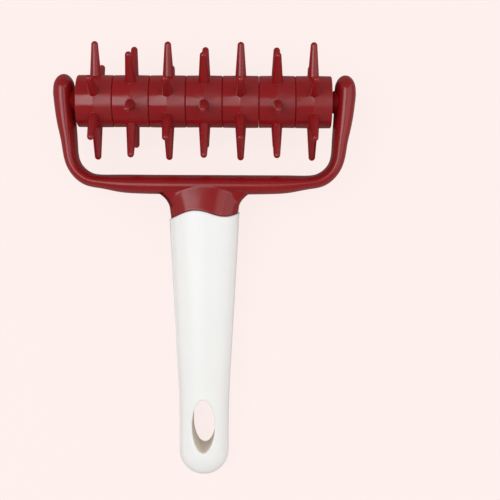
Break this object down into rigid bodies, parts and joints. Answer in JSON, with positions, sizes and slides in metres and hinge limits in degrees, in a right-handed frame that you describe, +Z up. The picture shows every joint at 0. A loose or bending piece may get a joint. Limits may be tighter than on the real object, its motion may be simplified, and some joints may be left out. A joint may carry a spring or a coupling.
{
  "type": "dough docker",
  "caption": "Hand-held dough docker: a roller of spiked rings turns on an axle between the arms of a moulded yoke, with a tapered handle joined along a wavy line and a hang hole.",
  "frame": {"origin": "on the table under the middle of the tool's bounding box, as it lies put down", "axes": "+X along the roller, +Y along the tool from the handle towards the roller, +Z up from the table"},
  "size_m": [0.1356, 0.1954, 0.0515],
  "materials": {
    "red_plastic": "satin gloss moulded",
    "white_plastic": "gloss moulded",
    "inner_plastic": "plain moulded",
    "axle_steel": "plain drawn"
  },
  "bodies": {
    "frame": {"yoke": "red_plastic", "handle": "white_plastic", "axle": "axle_steel"},
    "roller": {"spiked_ring_1": "red_plastic", "spiked_ring_2": "red_plastic", "spiked_ring_3": "red_plastic", "spiked_ring_4": "red_plastic", "spiked_ring_5": "red_plastic", "spiked_ring_6": "red_plastic", "spiked_ring_7": "red_plastic", "roller_core": "inner_plastic", "end_bush_left": "red_plastic", "end_bush_right": "red_plastic"}
  },
  "joints": [
    {"name": "roller_spin", "type": "hinge", "parent": "frame", "child": "roller", "pos_m": [0, 0.072, 0.02574], "axis": [1, 0, 0], "continuous": true}
  ]
}
